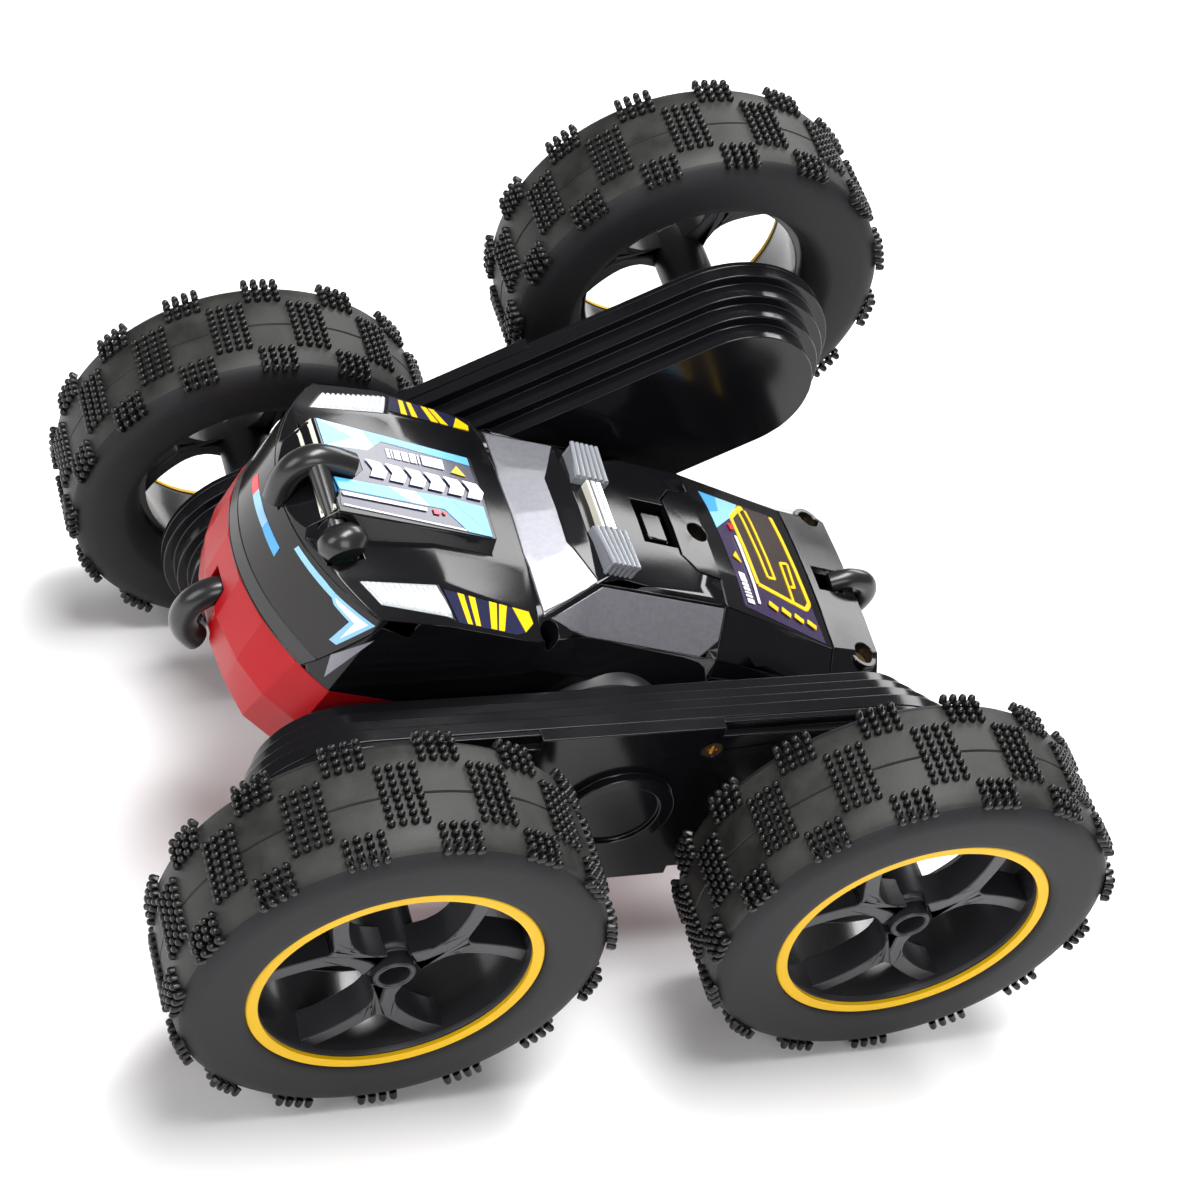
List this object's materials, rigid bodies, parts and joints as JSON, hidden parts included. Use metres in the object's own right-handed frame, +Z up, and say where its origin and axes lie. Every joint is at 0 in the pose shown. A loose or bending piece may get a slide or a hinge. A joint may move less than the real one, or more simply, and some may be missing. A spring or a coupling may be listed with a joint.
{
  "type": "stunt car",
  "caption": "Radio-controlled stunt car: a body hung between two freely twisting twin-wheel arms, with gear-driven wheels on soft knobbed tyres.",
  "frame": {"origin": "on the floor under the middle of the box around the whole car, as it stands on three tyres with its arms twisted", "axes": "+X forwards along the left arm, +Y to the left of the car, +Z up"},
  "size_m": [0.2292, 0.226, 0.1731],
  "materials": {
    "shell_black": "glossy moulded ABS",
    "shell_red": "satin moulded ABS",
    "chassis_plastic": "matte moulded plastic",
    "smoked_lens": "smoked clear plastic",
    "clear_lens": "clear ribbed plastic",
    "led": "clear epoxy",
    "silver_panel": "matte silver paint",
    "black_rubber": "soft semi-gloss rubber",
    "battery_wrap": "shrink wrap",
    "board_green": "solder mask",
    "screw_brass": "plated steel",
    "switch_plastic": "matte",
    "motor_steel": "zinc plated",
    "gear_nylon": "natural nylon",
    "tyre_rubber": "matte rubber",
    "rim_plastic": "satin charcoal plastic",
    "ring_yellow": "painted",
    "axle_steel": "turned steel"
  },
  "bodies": {
    "body": {"upper_shell": "shell_black", "lower_shell": "shell_red", "chassis_frame": "chassis_plastic", "front_band": "black_rubber", "front_lens": "smoked_lens", "headlight_lenses": "clear_lens", "headlight_leds": "led", "windscreen_panel": "silver_panel", "roof_light_left": "clear_lens", "roof_light_right": "clear_lens", "roof_light_bridge": "clear_lens", "battery_pack": "battery_wrap", "circuit_board": "board_green", "shell_screws": "screw_brass", "hood_guard": "black_rubber", "nose_hook": "black_rubber", "tail_hook": "black_rubber"},
    "battery_door": {"battery_door": "shell_black", "battery_door_screw": "screw_brass"},
    "battery_latch": {"battery_latch": "shell_black"},
    "power_switch": {"power_switch": "switch_plastic"},
    "arm_left": {"arm_inner_shell_left": "shell_black", "arm_outer_shell_left": "shell_black", "motor_left": "motor_steel", "arm_screws_left": "screw_brass"},
    "wheel_front_left": {"tyre_front_left": "tyre_rubber", "rim_front_left": "rim_plastic", "trim_ring_front_left": "ring_yellow", "axle_front_left": "axle_steel", "wheel_gear_front_left": "gear_nylon"},
    "compound_front_left": {"compound_gear_front_left": "gear_nylon"},
    "idler_front_left": {"idler_gear_front_left": "gear_nylon"},
    "wheel_rear_left": {"tyre_rear_left": "tyre_rubber", "rim_rear_left": "rim_plastic", "trim_ring_rear_left": "ring_yellow", "axle_rear_left": "axle_steel", "wheel_gear_rear_left": "gear_nylon"},
    "compound_rear_left": {"compound_gear_rear_left": "gear_nylon"},
    "idler_rear_left": {"idler_gear_rear_left": "gear_nylon"},
    "pinion_shaft_left": {"pinion_left": "gear_nylon"},
    "arm_right": {"arm_inner_shell_right": "shell_black", "arm_outer_shell_right": "shell_black", "motor_right": "motor_steel", "arm_screws_right": "screw_brass"},
    "wheel_front_right": {"tyre_front_right": "tyre_rubber", "rim_front_right": "rim_plastic", "trim_ring_front_right": "ring_yellow", "axle_front_right": "axle_steel", "wheel_gear_front_right": "gear_nylon"},
    "compound_front_right": {"compound_gear_front_right": "gear_nylon"},
    "idler_front_right": {"idler_gear_front_right": "gear_nylon"},
    "wheel_rear_right": {"tyre_rear_right": "tyre_rubber", "rim_rear_right": "rim_plastic", "trim_ring_rear_right": "ring_yellow", "axle_rear_right": "axle_steel", "wheel_gear_rear_right": "gear_nylon"},
    "compound_rear_right": {"compound_gear_rear_right": "gear_nylon"},
    "idler_rear_right": {"idler_gear_rear_right": "gear_nylon"},
    "pinion_shaft_right": {"pinion_right": "gear_nylon"}
  },
  "joints": [
    {"name": "arm_left_pivot", "type": "hinge", "parent": "body", "child": "arm_left", "pos_m": [0, 0.0032, 0.06992], "axis": [0, 0.982, -0.1888], "continuous": true},
    {"name": "wheel_front_left_spin", "type": "hinge", "parent": "arm_left", "child": "wheel_front_left", "pos_m": [0.063, 0.0032, 0.06992], "axis": [0, 0.982, -0.1888], "continuous": true},
    {"name": "compound_front_left_spin", "type": "hinge", "parent": "arm_left", "child": "compound_front_left", "pos_m": [0.022, 0.0032, 0.06992], "axis": [0, 0.982, -0.1888], "continuous": true},
    {"name": "idler_front_left_spin", "type": "hinge", "parent": "arm_left", "child": "idler_front_left", "pos_m": [0.036, 0.0032, 0.06992], "axis": [0, 0.982, -0.1888], "continuous": true},
    {"name": "wheel_rear_left_spin", "type": "hinge", "parent": "arm_left", "child": "wheel_rear_left", "pos_m": [-0.063, 0.0032, 0.06992], "axis": [0, 0.982, -0.1888], "continuous": true},
    {"name": "compound_rear_left_spin", "type": "hinge", "parent": "arm_left", "child": "compound_rear_left", "pos_m": [-0.022, 0.0032, 0.06992], "axis": [0, 0.982, -0.1888], "continuous": true},
    {"name": "idler_rear_left_spin", "type": "hinge", "parent": "arm_left", "child": "idler_rear_left", "pos_m": [-0.036, 0.0032, 0.06992], "axis": [0, 0.982, -0.1888], "continuous": true},
    {"name": "pinion_left_spin", "type": "hinge", "parent": "arm_left", "child": "pinion_shaft_left", "pos_m": [0, 0.0032, 0.06992], "axis": [0, 0.982, -0.1888], "continuous": true},
    {"name": "arm_right_pivot", "type": "hinge", "parent": "body", "child": "arm_right", "pos_m": [0, 0.0032, 0.06992], "axis": [0, 0.982, -0.1888], "continuous": true},
    {"name": "wheel_front_right_spin", "type": "hinge", "parent": "arm_right", "child": "wheel_front_right", "pos_m": [0.05309, -0.0032, 0.03661], "axis": [0, 0.982, -0.1888], "continuous": true},
    {"name": "compound_front_right_spin", "type": "hinge", "parent": "arm_right", "child": "compound_front_right", "pos_m": [0.01854, 0.00096, 0.05828], "axis": [0, 0.982, -0.1888], "continuous": true},
    {"name": "idler_front_right_spin", "type": "hinge", "parent": "arm_right", "child": "idler_front_right", "pos_m": [0.03034, -0.00046, 0.05088], "axis": [0, 0.982, -0.1888], "continuous": true},
    {"name": "wheel_rear_right_spin", "type": "hinge", "parent": "arm_right", "child": "wheel_rear_right", "pos_m": [-0.05309, 0.0096, 0.10322], "axis": [0, 0.982, -0.1888], "continuous": true},
    {"name": "compound_rear_right_spin", "type": "hinge", "parent": "arm_right", "child": "compound_rear_right", "pos_m": [-0.01854, 0.00544, 0.08155], "axis": [0, 0.982, -0.1888], "continuous": true},
    {"name": "idler_rear_right_spin", "type": "hinge", "parent": "arm_right", "child": "idler_rear_right", "pos_m": [-0.03034, 0.00686, 0.08895], "axis": [0, 0.982, -0.1888], "continuous": true},
    {"name": "pinion_right_spin", "type": "hinge", "parent": "arm_right", "child": "pinion_shaft_right", "pos_m": [0, 0.0032, 0.06992], "axis": [0, 0.982, -0.1888], "continuous": true},
    {"name": "battery_door_lift", "type": "slide", "parent": "body", "child": "battery_door", "axis": [-0.309, 0.1795, 0.934], "range_m": [0, 0.03]},
    {"name": "battery_latch_slide", "type": "slide", "parent": "body", "child": "battery_latch", "axis": [0.9511, 0.0583, 0.3035], "range_m": [0, 0.002], "stiffness_N_per_m": 300},
    {"name": "power_switch_slide", "type": "slide", "parent": "body", "child": "power_switch", "axis": [0.9511, 0.0583, 0.3035], "range_m": [0, 0.004]}
  ],
  "couplings": [
    {"joint": "compound_front_left_spin", "follows": "wheel_front_left_spin", "ratio": 3.1667},
    {"joint": "idler_front_left_spin", "follows": "wheel_front_left_spin", "ratio": -2.375},
    {"joint": "wheel_rear_left_spin", "follows": "wheel_front_left_spin", "ratio": 1},
    {"joint": "compound_rear_left_spin", "follows": "wheel_front_left_spin", "ratio": 3.1667},
    {"joint": "idler_rear_left_spin", "follows": "wheel_front_left_spin", "ratio": -2.375},
    {"joint": "pinion_left_spin", "follows": "wheel_front_left_spin", "ratio": -14.25},
    {"joint": "compound_front_right_spin", "follows": "wheel_front_right_spin", "ratio": 3.1667},
    {"joint": "idler_front_right_spin", "follows": "wheel_front_right_spin", "ratio": -2.375},
    {"joint": "wheel_rear_right_spin", "follows": "wheel_front_right_spin", "ratio": 1},
    {"joint": "compound_rear_right_spin", "follows": "wheel_front_right_spin", "ratio": 3.1667},
    {"joint": "idler_rear_right_spin", "follows": "wheel_front_right_spin", "ratio": -2.375},
    {"joint": "pinion_right_spin", "follows": "wheel_front_right_spin", "ratio": -14.25}
  ]
}
